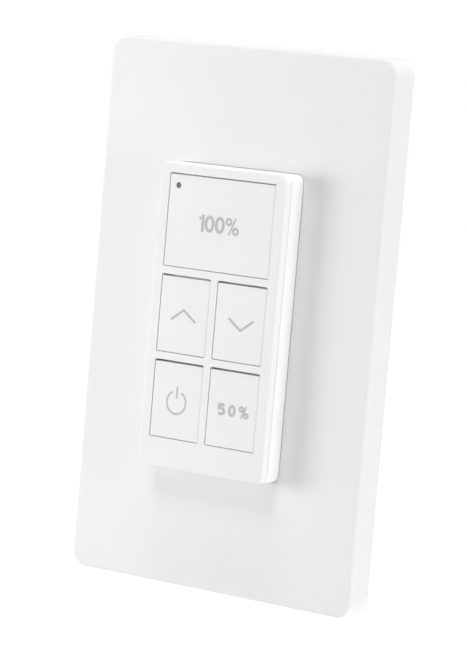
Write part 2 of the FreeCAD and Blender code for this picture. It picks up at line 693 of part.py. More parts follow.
def magnet_frame(sign):
    """The low wall that stands round a magnet inside the rear shell."""
    grow = 2 * (MAGNET_CLEARANCE + MAGNET_FRAME_WALL)
    width, height = MAGNET_LENGTH + grow, MAGNET_WIDTH + grow
    back = REAR_FLOOR - REAR_WALL / 2
    front = REMOTE_BACK + MAGNET_SKIN + MAGNET_THICKNESS
    return slab(width, height, back, front, MAGNET_FRAME_CORNER, 0, sign * MAGNET_Z, cut=True)


def magnet_pocket(sign):
    """The pocket for a magnet, which leaves only a skin at the remote's back."""
    back = REMOTE_BACK + MAGNET_SKIN
    width, height = (size + 2 * MAGNET_CLEARANCE for size in (MAGNET_LENGTH, MAGNET_WIDTH))
    return slab(width, height, back, back + MAGNET_THICKNESS, 0, 0, sign * MAGNET_Z)


def rear_boss(sign):
    """The boss of the rear shell that a case screw passes through."""
    back = REAR_FLOOR - REAR_WALL / 2
    return disc(CASE_BOSS_RADIUS, back, BOARD_FRONT, sign * CASE_SCREW_X, CASE_SCREW_Z)


def lug_angle(number):
    """The middle angle of a door lug in the locked position."""
    return 90 + number * 360 / DOOR_LUG_COUNT


def door_notch(number):
    """The notch in the rear shell that lets a lug pass once the door is turned to its open mark."""
    outer = LUG_RADIUS + DOOR_CLEARANCE
    sweep = DOOR_LUG_ANGLE + 2 * DOOR_STOP_PLAY
    return sector(outer, DOOR_RADIUS, REMOTE_BACK, REAR_FLOOR, lug_angle(number) + DOOR_TWIST, sweep)


def door_stops(number):
    """The two blocks that a lug turns between, one at its locked end and one past its notch."""
    reach = (DOOR_LUG_ANGLE + DOOR_STOP_ANGLE) / 2 + DOOR_STOP_PLAY
    middle = lug_angle(number)
    inner = DOOR_RADIUS + 2 * DOOR_CLEARANCE
    return [
        sector(LUG_RADIUS, inner, REAR_FLOOR - REAR_WALL / 2, LUG_FRONT, angle, DOOR_STOP_ANGLE)
        for angle in (middle - reach, middle + DOOR_TWIST + reach)
    ]


def battery_door():
    """The round door with its skirt, bayonet lugs and coin slot."""
    plate = disc(DOOR_RADIUS, REMOTE_BACK, REMOTE_BACK + DOOR_THICKNESS)
    plate = plate.makeChamfer(DOOR_CLEARANCE, edges_at(plate, REMOTE_BACK))
    skirt_inner = DOOR_RADIUS - DOOR_SKIRT_WALL
    skirt = ring(DOOR_RADIUS, skirt_inner, REMOTE_BACK + DOOR_THICKNESS / 2, LUG_FRONT)
    lugs = [
        sector(LUG_RADIUS, skirt_inner, LUG_BACK, LUG_FRONT, lug_angle(k), DOOR_LUG_ANGLE)
        for k in range(DOOR_LUG_COUNT)
    ]
    slot = slab(COIN_SLOT_WIDTH, COIN_SLOT_LENGTH, REMOTE_BACK, REMOTE_BACK + COIN_SLOT_DEPTH)
    return plate.fuse([skirt] + lugs).cut(slot).removeSplitter()


def key(name):
    """A key: a cap in its window, a flange behind the bezel, a boss over its switch and four feet."""
    x, z, width, height = KEYS[name]
    upper_gap = MAIN_UPPER_GAP if name == "main" else KEY_UPPER_GAP
    cap_width = width - 2 * KEY_GAP
    cap_height = height - upper_gap - KEY_LOWER_GAP
    cap_z = z - (upper_gap - KEY_LOWER_GAP) / 2
    cap = slab(cap_width, cap_height, FLANGE_BACK, KEY_FRONT, KEY_CORNER, x, cap_z, cut=True)
    cap = cap.makeChamfer(KEY_EDGE_CHAMFER, edges_at(cap, KEY_FRONT))
    flange_width = width + 2 * FLANGE_OVERLAP
    flange_height = height + 2 * FLANGE_OVERLAP
    flange = slab(flange_width, flange_height, FLANGE_BACK, FLANGE_FRONT, 0, x, z)
    pocket = slab(
        flange_width - 2 * FLANGE_RIM,
        flange_height - 2 * FLANGE_RIM,
        FLANGE_BACK,
        KEY_FRONT - KEY_SKIN,
        0,
        x,
        cap_z,
    )
    skin_back = KEY_FRONT - KEY_SKIN / 2
    half_rib = KEY_RIB_WALL / 2
    ribs = [
        box(x - half_rib, x + half_rib, z - height / 2, z + height / 2, FLANGE_BACK, skin_back),
        box(x - width / 2, x + width / 2, z - half_rib, z + half_rib, FLANGE_BACK, skin_back),
        slab(KEY_BOSS_SIZE, KEY_BOSS_SIZE, PLUNGER_FRONT, skin_back, 0, x, z),
    ]
    body = cap.fuse(flange).cut(pocket).fuse(ribs + key_feet(x, z, flange_width, flange_height))
    if name == "main":
        body = body.cut(indicator_cuts())
    return body.removeSplitter()


def key_feet(x, z, width, height):
    """The stops at a key's corners, which meet the board at the end of the key's travel."""
    out_x = width / 2 - FOOT_SIZE / 2 - FLANGE_OVERLAP / 2
    out_z = height / 2 - FOOT_SIZE / 2 - FLANGE_OVERLAP / 2
    tip = BOARD_FRONT + KEY_TRAVEL + FOOT_CLEARANCE
    root = FLANGE_FRONT - FLANGE_THICKNESS / 2
    places = [(x + i * out_x, z + k * out_z) for i in (-1, 1) for k in (-1, 1)]
    return [slab(FOOT_SIZE, FOOT_SIZE, tip, root, 0, a, b) for a, b in places]


def indicator_cuts():
    """The indicator's bore through the main key and the seat for its head."""
    x, z = indicator_place()
    bore = disc(INDICATOR_RADIUS + PRESS_CLEARANCE, FLANGE_BACK - FLANGE_THICKNESS, KEY_FRONT, x, z)
    seat_front = KEY_FRONT - KEY_SKIN
    seat = disc(INDICATOR_HEAD_RADIUS + PRESS_CLEARANCE, FLANGE_BACK - FLANGE_THICKNESS, seat_front, x, z)
    return [bore, seat]


def indicator_lens():
    """The smoked light guide pressed into the main key from behind."""
    x, z = indicator_place()
    head_front = KEY_FRONT - KEY_SKIN
    head_back = head_front - INDICATOR_HEAD_HEIGHT
    tail = BOARD_FRONT + LED_HEIGHT + KEY_TRAVEL + INDICATOR_TAIL
    pin = disc(INDICATOR_RADIUS, tail, KEY_FRONT - INDICATOR_RECESS, x, z)
    head = disc(INDICATOR_HEAD_RADIUS, head_back, head_front, x, z)
    return pin.fuse(head).removeSplitter()


def switch(name):
    """The base of a tact switch on the board, with the well that its plunger sinks into."""
    x, z = KEYS[name][:2]
    body = slab(SWITCH_SIZE, SWITCH_SIZE, BOARD_FRONT, SWITCH_FRONT, 0, x, z)
    well = disc(PLUNGER_RADIUS + PLUNGER_CLEARANCE, BOARD_FRONT + SWITCH_FLOOR, SWITCH_FRONT, x, z)
    return body.cut(well)


def plunger(name):
    """A switch's plunger, which moves with its key."""
    x, z = KEYS[name][:2]
    return disc(PLUNGER_RADIUS, SWITCH_FRONT - PLUNGER_REST_DEPTH, PLUNGER_FRONT, x, z)


def circuit_board():
    """The board, with its lower edge clear of the case screws."""
    height = BOARD_TOP - BOARD_BOTTOM
    middle = (BOARD_TOP + BOARD_BOTTOM) / 2
    return slab(BOARD_WIDTH, height, BOARD_BACK, BOARD_FRONT, BOARD_CORNER, 0, middle, cut=True)


def status_led():
    """The surface-mounted lamp behind the indicator."""
    x, z = indicator_place()
    return slab(LED_WIDTH, LED_LENGTH, BOARD_FRONT, BOARD_FRONT + LED_HEIGHT, 0, x, z)


def rear_component(width, height, thickness, x, z):
    """A part soldered to the back of the board."""
    return slab(width, height, BOARD_BACK - thickness, BOARD_BACK, 0, x, z)


def component_row():
    """The height at which the small parts sit, midway between the cell's holder and the magnet."""
    return (HOLDER_OUTER + MAGNET_Z) / 2


def radio_chip():
    """The radio's chip."""
    size = RADIO_CHIP_SIZE
    return rear_component(size, size, RADIO_CHIP_HEIGHT, -size, component_row())


def crystal():
    """The chip's crystal, beside it."""
    x = CRYSTAL_LENGTH / 2
    return rear_component(CRYSTAL_LENGTH, CRYSTAL_WIDTH, CRYSTAL_HEIGHT, x, component_row())


def chip_antenna():
    """The ceramic antenna at the board's top edge."""
    z = BOARD_TOP - ANTENNA_WIDTH
    return rear_component(ANTENNA_LENGTH, ANTENNA_WIDTH, ANTENNA_HEIGHT, BOARD_WIDTH / 4, z)


def chip_parts(count, first_x, z):
    """A row of small chip capacitors or resistors as separate solids of one node."""
    pitch = 2 * CHIP_PART_WIDTH
    size = (CHIP_PART_WIDTH, CHIP_PART_LENGTH, CHIP_PART_HEIGHT)
    return Part.makeCompound([rear_component(*size, first_x + k * pitch, z) for k in range(count)])


def cell_holder():
    """The ring on the back of the board that holds the cell, with a gap for the side contact."""
    back = LUG_FRONT + DOOR_CLEARANCE
    wall = ring(HOLDER_OUTER, HOLDER_INNER, back, BOARD_BACK)
    half = CONTACT_WIDTH / 2 + DOOR_CLEARANCE
    low, high = -HOLDER_OUTER - HOLDER_WALL, -HOLDER_INNER / 2
    return wall.cut(box(-half, half, low, high, back, BOARD_BACK - HOLDER_BRIDGE))


def battery_clip():
    """The positive contact: a bent strip below the cell that leans on its side."""
    half = CONTACT_WIDTH / 2
    blade = CELL_RADIUS + FLANGE_GAP
    riser = HOLDER_OUTER + DOOR_CLEARANCE
    pad = riser + half
    shelf = BOARD_BACK - HOLDER_BRIDGE - FLANGE_GAP
    tip = LUG_FRONT + 2 * DOOR_CLEARANCE
    strip = [
        (blade, blade + CONTACT_SHEET, tip, shelf),
        (blade, riser + CONTACT_SHEET, shelf - CONTACT_SHEET, shelf),
        (riser, riser + CONTACT_SHEET, shelf - CONTACT_SHEET, BOARD_BACK),
        (riser, pad, BOARD_BACK - CONTACT_SHEET, BOARD_BACK),
    ]
    pieces = [box(-half, half, -far, -near, back, front) for near, far, back, front in strip]
    return pieces[0].fuse(pieces[1:]).removeSplitter()


def battery_spring():
    """The negative contact: a leaf that arches from the board to the middle of the cell."""
    half = SPRING_LENGTH / 2
    foot = BOARD_BACK
    crest = CELL_FRONT + CONTACT_SHEET
    line = [(-half, foot), (SPRING_FOOT - half, foot), (-SPRING_CREST / 2, crest)]
    line += [(-x, s) for x, s in reversed(line)]
    points = line + [(x, s - CONTACT_SHEET) for x, s in reversed(line)]
    return profile_bar(points, CONTACT_WIDTH, -CONTACT_WIDTH / 2)


def coin_cell():
    """The coin cell, with the step round its smaller negative face."""
    can = disc(CELL_RADIUS, CELL_BACK, CELL_FRONT - CELL_STEP)
    cap = disc(CELL_RADIUS - CELL_RIM, CELL_FRONT - CELL_STEP, CELL_FRONT)
    return can.fuse(cap).removeSplitter()


def case_screw(sign):
    """A self-tapping screw: a round head with a cross recess and a plain shank for its thread."""
    x = sign * CASE_SCREW_X
    seat = REMOTE_BACK + CASE_SCREW_HEAD_RECESS
    under = seat - CASE_SCREW_HEAD_HEIGHT
    tip = BOARD_FRONT + CASE_SCREW_ENGAGEMENT
    shank = disc(CASE_SCREW_RADIUS, seat, tip, x, CASE_SCREW_Z)
    head = disc(CASE_SCREW_HEAD_RADIUS, under, seat, x, CASE_SCREW_Z)
    depth = under + CROSS_DEPTH
    bars = [
        slab(CROSS_LENGTH, CROSS_WIDTH, under, depth, 0, x, CASE_SCREW_Z),
        slab(CROSS_WIDTH, CROSS_LENGTH, under, depth, 0, x, CASE_SCREW_Z),
    ]
    return shank.fuse(head).cut(bars).removeSplitter()


def save(name, shape):
    """Writes one sub-part and prints what it holds."""
    shape.exportStep("parts/" + name + ".step")
    state = "valid" if shape.isValid() else "NOT VALID"
    print(name, len(shape.Solids), "solid", round(shape.Volume, 2), "mm3", state)


save("wall_plate", wall_plate())
save("mounting_plate", mounting_plate())
save("upper_keeper", keeper(1))
save("lower_keeper", keeper(-1))
save("front_shell", front_shell())
save("rear_shell", rear_shell())
save("battery_door", battery_door())
save("circuit_board", circuit_board())
save("cell_holder", cell_holder())
save("battery_clip", battery_clip())
save("battery_spring", battery_spring())
save("coin_cell", coin_cell())
save("upper_magnet", magnet(1))
save("lower_magnet", magnet(-1))
save("status_led", status_led())
save("radio_chip", radio_chip())
save("crystal", crystal())
save("chip_antenna", chip_antenna())
save("capacitors", chip_parts(4, CRYSTAL_LENGTH * 2, component_row()))
save("resistors", chip_parts(3, CRYSTAL_LENGTH * 2, component_row() - 2 * CHIP_PART_LENGTH))
save("indicator_lens", indicator_lens())
save("case_screws", Part.makeCompound([case_screw(sign) for sign in (-1, 1)]))
for key_name in KEYS:
    save(key_name + "_key", key(key_name))
    save(key_name + "_switch", switch(key_name))
    save(key_name + "_plunger", plunger(key_name))
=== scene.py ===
"""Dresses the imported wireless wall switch: printed legends, key pieces, finishes, studio light and camera.

Everything is in metres in the row frame: the wall is the plane y = 0, the room is towards -Y, +Z is up.
"""

import json
import math

import bmesh
import bpy
from mathutils import Matrix, Vector


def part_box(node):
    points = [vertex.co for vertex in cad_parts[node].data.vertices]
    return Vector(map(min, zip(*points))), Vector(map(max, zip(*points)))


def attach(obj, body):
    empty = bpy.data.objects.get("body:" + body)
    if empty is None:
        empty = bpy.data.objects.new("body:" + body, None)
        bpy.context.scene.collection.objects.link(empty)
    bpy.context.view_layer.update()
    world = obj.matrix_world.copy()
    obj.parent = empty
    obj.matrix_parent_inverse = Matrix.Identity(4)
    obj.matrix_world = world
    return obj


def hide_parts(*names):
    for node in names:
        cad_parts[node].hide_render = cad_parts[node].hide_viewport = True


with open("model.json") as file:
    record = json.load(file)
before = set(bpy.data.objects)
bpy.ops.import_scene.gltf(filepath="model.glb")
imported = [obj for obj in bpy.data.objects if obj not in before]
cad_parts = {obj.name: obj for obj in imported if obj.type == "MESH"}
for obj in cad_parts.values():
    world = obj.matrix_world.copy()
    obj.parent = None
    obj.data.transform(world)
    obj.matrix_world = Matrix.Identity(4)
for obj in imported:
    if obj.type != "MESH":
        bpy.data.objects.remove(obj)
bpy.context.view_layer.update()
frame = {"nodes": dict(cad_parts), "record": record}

MM = 0.001
WHITE = (1, 1, 1, 1)
scene = bpy.context.scene

# Printed legends: sizes in millimetres on the key faces
PRINT_RAISE = 0.02
PRINT_SINK = 0.01
# Neighbouring lines differ by this, so that two that cross don't share a plane
PRINT_STEP = 0.004
ARC_STEP = math.radians(6)
# A mitre's reach grows as one over a cosine, and this least cosine keeps a sharp corner's point short
MITRE_LIMIT = 0.3
# A line's section is a rectangle
SECTION_CORNERS = 4
LEVEL_HEIGHT = 3.72
LEVEL_STROKE = 0.7
LEVEL_SPACING = 0.16
PRESET_HEIGHT = 2.65
PRESET_STROKE = 0.64
PRESET_SPACING = 0.75
CHEVRON_HALF_WIDTH = 3.26
CHEVRON_HEIGHT = 2.4
CHEVRON_STROKE = 0.5
POWER_RADIUS = 2.52
POWER_STROKE = 0.42
POWER_GAP = math.radians(28)
POWER_BAR = (0.97, 3.42)
# Each legend's middle from the middle of its key: across, up
LEGEND_PLACES = {
    "main": (0.0, 0.0),
    "raise": (0.0, -0.1),
    "lower": (0.35, -0.35),
    "power": (0.0, -0.42),
    "preset": (0.3, -0.22),
}

# Signs: places and sizes as shares of their height
ONE_STEM = 0.26
ONE_FLAG = (0.74, 0.87)
ZERO_HALF_WIDTH = 0.25
FIVE_STEM_FOOT = 0.46
FIVE_BAR_LENGTH = 0.55
FIVE_BOWL_MIDDLE = 0.225
FIVE_BOWL_RADII = (0.31, 0.24)
FIVE_BOWL_ENDS = (math.radians(125), math.radians(-140))
PERCENT_RING = 0.17
PERCENT_RINGS_APART = 0.5
PERCENT_SLASH_INSET = 0.03
# Line widths: a percent sign's rings to its stroke, and a flag or slash to the line beside it
PERCENT_STROKE = 0.78
FINE_STROKE = 0.8

# Keys, in millimetres behind their faces: the front of the cross ribs and of the flange
RIB_DEPTH = 0.55
FLANGE_DEPTH = 1.25
# The most that a solid's rib runs on past the cap's side, and the slack in telling levels apart
RIB_OVERRUN = 0.5
LEVEL_SLACK = 0.02
# Edges that turn by more than this stay crisp
SHARP_ANGLE = math.radians(25)
# Points nearer than this, in metres, are one
POINT_SLACK = 1e-6

# Painted shade on the keys' sides and flanges, darkest deep in the gaps round them: from, to (places along
# Y, in metres)
KEY_GAP_PAINTED_SHADE = (-0.0129, -0.012)
# and what the painted shade leaves of each key's colour
GAP_PAINTED_SHADE_LEVELS = {"main": 1.0, "raise": 0.95, "lower": 0.7, "power": 0.38, "preset": 0.46}

# The part of its range in which a noise mostly lies
NOISE_RANGE = (0.3, 0.7)

# In the finishes below a noise is (scale per metre, detail) and a bump is (depth in metres, strength)

# Moulded plastic: sink waves, spark-eroded grain and gloss
WAVE_NOISE = (70.0, 3.0)
WAVE_BUMP = (1.2e-5, 0.25)
GRAIN_SCALE = 5200.0
GRAIN_DETAIL = 2.0
GRAIN_DEPTH = 4e-6
GRAIN_STRENGTH = 0.5
MOULDED_GLOSS_NOISE = (420.0, 4.0)
MOULDED_GLOSS_SWING = 0.05
MOTTLE = 0.012

MOULDED = {
    "plate_plastic": {"colour": (0.768, 0.768, 0.768), "roughness": 0.42, "grain": 4200.0, "depth": 2.5e-6},
    "base_plastic": {"colour": (0.77, 0.77, 0.755), "roughness": 0.55, "depth": 6e-6},
    "housing_plastic": {"colour": (0.788, 0.788, 0.788), "roughness": 0.48},
    "key_plastic": {"colour": (0.788, 0.788, 0.788), "roughness": 0.5, "grain": 6200.0, "depth": 3e-6},
    "plunger_plastic": {"colour": (0.72, 0.68, 0.56), "roughness": 0.4},
    "black_plastic": {"colour": (0.03, 0.03, 0.032), "roughness": 0.5, "mottle": 0.15},
    "chip_resin": {"colour": (0.04, 0.04, 0.043), "roughness": 0.6, "depth": 9e-6, "mottle": 0.2},
    "ceramic": {"colour": (0.52, 0.44, 0.32), "roughness": 0.5, "mottle": 0.08},
    "lamp_resin": {"colour": (0.74, 0.7, 0.45), "roughness": 0.25, "mottle": 0.05},
}
# The rear shell's moulding is made a little whiter than the front's: painted light that lifts the shade it
# falls in beside the plate
REAR_SHELL_PAINTED_LIGHT = {"colour": (0.835, 0.835, 0.835), "roughness": 0.48}

# Metal: rolled, drawn or plated, with lines along the axes that its stretch leaves at 1
LINE_NOISE = (900.0, 5.0)
LINE_BUMP = (6e-6, 0.35)
METAL_GLOSS_SWING = 0.08
METAL_CLOUD_NOISE = (160.0, 3.0)
METAL_SHADES = (0.9, 1.05)

METALS = {
    "contact_metal": {"colour": (0.8, 0.68, 0.42), "roughness": 0.3, "stretch": (1, 1, 14)},
    "cell_steel": {"colour": (0.74, 0.74, 0.73), "roughness": 0.24, "stretch": (14, 1, 1)},
    "magnet_metal": {"colour": (0.66, 0.66, 0.66), "roughness": 0.28, "stretch": (3, 1, 3)},
    "plated_steel": {"colour": (0.62, 0.63, 0.64), "roughness": 0.36, "stretch": (1, 1, 12)},
    "screw_steel": {"colour": (0.5, 0.5, 0.5), "roughness": 0.34, "stretch": (1, 12, 1)},
}

# Circuit board: green solder mask over a weave of glass
MASK_COLOUR = (0.012, 0.11, 0.045)
WEAVE = {"Brick Width": 2.4e-3, "Row Height": 0.8e-3, "Mortar Size": 1.2e-4, "Mortar Smooth": 0.3}
WEAVE_SHADE = 1.9
WEAVE_BUMP = (3e-5, 0.6)
MASK_NOISE = (2600.0, 2.0)
MASK_BUMP = (4e-6, 0.3)
MASK_GLOSS_NOISE = (700.0, 3.0)
MASK_GLOSS = (0.22, 0.36)

# Lens: smoked clear plastic
LENS_COLOUR = (0.13, 0.13, 0.13)
HAZE_NOISE = (1500.0, 2.0)
HAZE_SHADES = (0.85, 1.1)
HAZE_BUMP = (3e-6, 0.3)
LENS_GLOSS_NOISE = (3000.0, 2.0)
LENS_GLOSS = (0.12, 0.24)
LENS_COAT_WEIGHT = 0.3
LENS_COAT_ROUGHNESS = 0.08

# Ink of the legends
INK_COLOUR = (0.46, 0.46, 0.46)
INK_NOISE = (2400.0, 4.0)
INK_SHADES = (0.95, 1.04)
INK_GLOSS = (0.5, 0.66)
INK_BUMP = (4e-6, 0.4)

# Floor: how far below the object's middle it lies, and its half-width, in metres
FLOOR_DEPTH = 0.35
FLOOR_REACH = 4.0
FLOOR_NOISE = (3.0, 2.0)
FLOOR_DARKER = (0.78, 0.78, 0.78)
FLOOR_PALER = (0.8, 0.8, 0.8)
FLOOR_ROUGHNESS = 0.9
# Its own white as it is seen: from, to (distance from the object), and the level at each
FLOOR_WHITE = (0.5, 1.3, 0.75, 1.0)

# World: the level at which it lights the object
AMBIENT = 0.24

# Lamps: name, place, side length, power
LAMPS = [
    ("left_near", (-0.42, -0.36, 0.0), 0.22, 1.23),
    ("left_side", (-1.0, -0.47, 0.0), 0.5, 2.9),
    ("top_front", (0.0, -1.2, 1.4), 0.6, 8.1),
    ("above", (0.0, -0.12, 1.2), 0.3, 8.8),
    ("right_side", (1.1, -0.08, 0.0), 0.5, 7.6),
    ("back", (-0.25, 1.3, 0.15), 0.8, 7.2),
]

# Camera, from a fit to the photograph's straight edges
CAMERA_PLACE = Vector((0.40158, -0.58228, 0.06388))
CAMERA_LOOK = Vector((-0.56826, 0.81756, -0.09313))
CAMERA_UP = Vector((-0.12219, 0.02809, 0.99211))
CAMERA_LENS = 177.61
CAMERA_SENSOR = 36.0


def node(tree, kind, **values):
    """A shader node with some of its properties or sockets set."""
    made = tree.nodes.new(kind)
    for key, value in values.items():
        if key in made.inputs:
            made.inputs[key].default_value = value
        else:
            setattr(made, key, value)
    return made


def surface(name):
    """A new material with an empty tree, its shader, its output and its object coordinates."""
    material = bpy.data.materials.new(name)
    material.use_nodes = True
    tree = material.node_tree
    tree.nodes.clear()
    shader = node(tree, "ShaderNodeBsdfPrincipled")
    output = node(tree, "ShaderNodeOutputMaterial")
    place = node(tree, "ShaderNodeTexCoord")
    tree.links.new(shader.outputs["BSDF"], output.inputs["Surface"])
    return material, tree, shader, place.outputs["Object"]


def noise(tree, place, scale, detail, stretch=None):
    """A noise value over the object's own coordinates, stretched for brushed or drawn surfaces."""
    if stretch:
        mapping = node(tree, "ShaderNodeMapping")
        mapping.inputs["Scale"].default_value = stretch
        tree.links.new(place, mapping.inputs["Vector"])
        place = mapping.outputs["Vector"]
    made = node(tree, "ShaderNodeTexNoise", Scale=scale, Detail=detail)
    tree.links.new(place, made.inputs["Vector"])
    return made.outputs["Fac"]


def ranged(tree, value, limits):
    """A value carried from one range into another; limits are the first's ends, then the second's."""
    made = node(tree, "ShaderNodeMapRange")
    for socket, limit in zip(("From Min", "From Max", "To Min", "To Max"), limits):
        made.inputs[socket].default_value = limit
    tree.links.new(value, made.inputs["Value"])
    return made.outputs["Result"]


def spread(tree, value, low, high):
    """A noise value, which gathers about its middle, opened out to run from low to high."""
    return ranged(tree, value, (*NOISE_RANGE, low, high))


def shade(colour, gain):
    """A colour made lighter or darker."""
    return tuple(min(part * gain, 1) for part in colour)


def tint(tree, value, low, high):
    """A colour between two, by a value."""
    made = node(tree, "ShaderNodeMix", data_type="RGBA")
    made.inputs["A"].default_value = (*low, 1)
    made.inputs["B"].default_value = (*high, 1)
    tree.links.new(value, made.inputs["Factor"])
    return made.outputs["Result"]


def mottled(tree, value, colour, darker, paler):
    """A colour that wanders between two of its shades with a noise."""
    return tint(tree, spread(tree, value, 0, 1), shade(colour, darker), shade(colour, paler))


def darkened(tree, place, tone, start, stop, level):
    """Painted shade: a colour that falls off to a share of itself between two places along Y."""
    axes = node(tree, "ShaderNodeSeparateXYZ")
    tree.links.new(place, axes.inputs["Vector"])
    fall = ranged(tree, axes.outputs["Y"], (start, stop, 1, level))
    made = node(tree, "ShaderNodeMix", data_type="RGBA", blend_type="MULTIPLY")
    made.inputs["Factor"].default_value = 1
    tree.links.new(tone, made.inputs["A"])
    tree.links.new(fall, made.inputs["B"])
    return made.outputs["Result"]


def paint(tree, shader, tone, gloss):
    """Gives a shader its colour and its roughness."""
    tree.links.new(tone, shader.inputs["Base Color"])
    tree.links.new(gloss, shader.inputs["Roughness"])


def emboss(tree, shader, heights):
    """Bumps laid over each other: (value, depth in metres, strength)."""
    normal = None
    for value, depth, strength in heights:
        made = node(tree, "ShaderNodeBump", Distance=depth, Strength=strength)
        tree.links.new(value, made.inputs["Height"])
        if normal:
            tree.links.new(normal, made.inputs["Normal"])
        normal = made.outputs["Normal"]
    tree.links.new(normal, shader.inputs["Normal"])


def moulded(name, colour, roughness, grain=GRAIN_SCALE, depth=GRAIN_DEPTH, mottle=MOTTLE, painted_shade=None):
    """Moulded plastic: faint waves and slow flow of tone, spark-eroded grain, and, where given, shade
    painted into its gaps.
    """
    material, tree, shader, place = surface(name)
    flow = noise(tree, place, *WAVE_NOISE)
    fine = noise(tree, place, grain, GRAIN_DETAIL)
    tone = mottled(tree, flow, colour, 1 - mottle, 1 + mottle / 2)
    # Painted shade: the colour darkens towards the back, standing in for the shade deep in the gaps
    if painted_shade:
        tone = darkened(tree, place, tone, *painted_shade)
    cloud = noise(tree, place, *MOULDED_GLOSS_NOISE)
    gloss = spread(tree, cloud, roughness - MOULDED_GLOSS_SWING, roughness + MOULDED_GLOSS_SWING)
    paint(tree, shader, tone, gloss)
    emboss(tree, shader, [(flow, *WAVE_BUMP), (fine, depth, GRAIN_STRENGTH)])
    return material


def metal(name, colour, roughness, stretch):
    """Rolled, drawn or plated metal: fine lines, and a slow change of tone."""
    material, tree, shader, place = surface(name)
    shader.inputs["Metallic"].default_value = 1
    lines = noise(tree, place, *LINE_NOISE, stretch)
    cloud = noise(tree, place, *METAL_CLOUD_NOISE)
    gloss = spread(tree, lines, roughness - METAL_GLOSS_SWING, roughness + METAL_GLOSS_SWING)
    paint(tree, shader, mottled(tree, cloud, colour, *METAL_SHADES), gloss)
    emboss(tree, shader, [(lines, *LINE_BUMP)])
    return material


def laminate(name, colour):
    """A circuit board: solder mask over woven glass, whose threads show as raised, paler lines."""
    material, tree, shader, place = surface(name)
    weave = node(tree, "ShaderNodeTexBrick", Scale=1)
    for socket, value in WEAVE.items():
        weave.inputs[socket].default_value = value
    turn = node(tree, "ShaderNodeMapping")
    turn.inputs["Rotation"].default_value = (math.pi / 2, 0, 0)
    tree.links.new(place, turn.inputs["Vector"])
    tree.links.new(turn.outputs["Vector"], weave.inputs["Vector"])
    threads = weave.outputs["Fac"]
    tone = tint(tree, threads, colour, shade(colour, WEAVE_SHADE))
    gloss = spread(tree, noise(tree, place, *MASK_GLOSS_NOISE), *MASK_GLOSS)
    paint(tree, shader, tone, gloss)
    emboss(tree, shader, [(threads, *WEAVE_BUMP), (noise(tree, place, *MASK_NOISE), *MASK_BUMP)])
    return material


def smoked(name, colour):
    """Dark clear plastic with a polished face and faint haze inside."""
    material, tree, shader, place = surface(name)
    haze = noise(tree, place, *HAZE_NOISE)
    gloss = spread(tree, noise(tree, place, *LENS_GLOSS_NOISE), *LENS_GLOSS)
    paint(tree, shader, mottled(tree, haze, colour, *HAZE_SHADES), gloss)
    shader.inputs["Coat Weight"].default_value = LENS_COAT_WEIGHT
    shader.inputs["Coat Roughness"].default_value = LENS_COAT_ROUGHNESS
    emboss(tree, shader, [(haze, *HAZE_BUMP)])
    return material


def ink(name, colour):
    """Screen-printed ink: matt, with a slightly uneven lay-down."""
    material, tree, shader, place = surface(name)
    lay = noise(tree, place, *INK_NOISE)
    paint(tree, shader, mottled(tree, lay, colour, *INK_SHADES), spread(tree, lay, *INK_GLOSS))
    emboss(tree, shader, [(lay, *INK_BUMP)])
    return material


def make_finishes():
    """The finish of each of the frame's material slots."""
    finishes = {slot: moulded(slot + "_look", **look) for slot, look in MOULDED.items()}
    finishes["smoked_lens"] = smoked("smoked_lens_look", LENS_COLOUR)
    finishes["board_laminate"] = laminate("board_laminate_look", MASK_COLOUR)
    finishes.update({slot: metal(slot + "_look", **look) for slot, look in METALS.items()})
    return finishes


def dress_nodes():
    """Gives each CAD node its own finish or that of its slot."""
    finishes = make_finishes()
    # The rear shell gets a paler copy of the housing plastic: painted light
    own_finishes = {"rear_shell": moulded("rear_shell_painted_light_look", **REAR_SHELL_PAINTED_LIGHT)}
    for part in frame["record"]["subparts"]:
        slots = frame["nodes"][part["node"]].data.materials
        finish = own_finishes.get(part["node"], finishes[part["material_slot"]])
        for index in range(len(slots)):
            slots[index] = finish


def closed_mesh(name, places, faces, material):
    """A closed mesh with its doubled points joined and its faces turned outwards."""
    mesh = bpy.data.meshes.new(name)
    mesh.from_pydata(places, [], faces)
    shape = bmesh.new()
    shape.from_mesh(mesh)
    bmesh.ops.remove_doubles(shape, verts=shape.verts, dist=POINT_SLACK)
    bmesh.ops.dissolve_degenerate(shape, edges=shape.edges, dist=POINT_SLACK)
    bmesh.ops.recalc_face_normals(shape, faces=shape.faces)
    shape.to_mesh(mesh)
    shape.free()
    mesh.materials.append(material)
    return mesh


def add_piece(name, mesh, body):
    """Links a piece, which rides on a body."""
    piece = bpy.data.objects.new(name, mesh)
    scene.collection.objects.link(piece)
    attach(piece, body)
    return piece


def trim_ribs(places):
    """Ends a key's cross ribs at the cap's sides: the solid's bridge the gap between cap and window."""
    face = min(place.y for place in places)
    ribs_from = face + (RIB_DEPTH - LEVEL_SLACK) * MM
    ribs_to = face + (FLANGE_DEPTH + LEVEL_SLACK) * MM
    cap = [place for place in places if place.y < ribs_from]
    ribs = [place for place in places if ribs_from < place.y < ribs_to]
    across, up = 0, 2
    for axis in (across, up):
        low = min(place[axis] for place in cap)
        high = max(place[axis] for place in cap)
        for place in ribs:
            if 0 < low - place[axis] < RIB_OVERRUN * MM:
                place[axis] = low
            elif 0 < place[axis] - high < RIB_OVERRUN * MM:
                place[axis] = high


